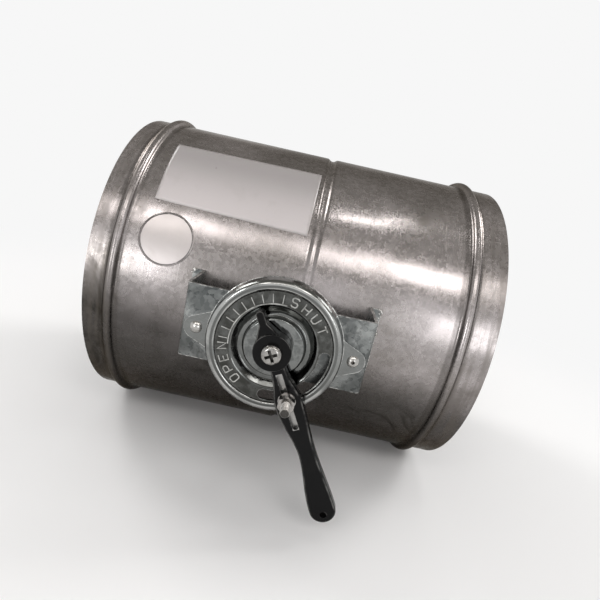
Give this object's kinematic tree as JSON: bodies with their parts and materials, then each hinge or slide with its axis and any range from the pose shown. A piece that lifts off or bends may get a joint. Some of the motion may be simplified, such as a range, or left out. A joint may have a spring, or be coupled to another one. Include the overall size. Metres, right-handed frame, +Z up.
{
  "type": "round air damper",
  "caption": "Round duct damper: beaded tubular casing with a pivoting disc blade, turned by a pointer lever on a stand-off dial with a locking nut.",
  "frame": {"origin": "where the blade's shaft crosses the duct's axis", "axes": "+X along the duct towards the longer end, +Y along the shaft away from the dial, +Z up"},
  "size_m": [0.238, 0.2623, 0.207],
  "materials": {
    "galvanised_sheet": "galvanised, faint spangle, handling marks",
    "zinc_dial": "bright zinc plate, slightly dulled",
    "black_lever": "gloss black, worn at the edges",
    "plated_fasteners": "zinc plated",
    "bush_plastic": "moulded black"
  },
  "bodies": {
    "housing": {"casing": "galvanised_sheet", "front_bush": "bush_plastic", "rear_bush": "bush_plastic", "stand_off_bracket": "galvanised_sheet", "dial_plate": "zinc_dial", "left_dial_rivet": "plated_fasteners", "right_dial_rivet": "plated_fasteners"},
    "blade_set": {"shaft": "plated_fasteners", "lever": "black_lever", "centre_screw": "plated_fasteners", "lock_bolt": "plated_fasteners", "lock_washer": "plated_fasteners", "lock_nut": "plated_fasteners", "tail_washer": "plated_fasteners", "tail_clip": "plated_fasteners", "blade": "galvanised_sheet", "front_saddle": "galvanised_sheet", "rear_saddle": "galvanised_sheet", "blade_rivet_1": "plated_fasteners", "blade_rivet_2": "plated_fasteners", "blade_rivet_3": "plated_fasteners", "blade_rivet_4": "plated_fasteners"}
  },
  "joints": [
    {"name": "blade_turn", "type": "hinge", "parent": "housing", "child": "blade_set", "pos_m": [0, 0, 0], "axis": [0, 1, 0], "range_deg": [-62, 28]}
  ]
}
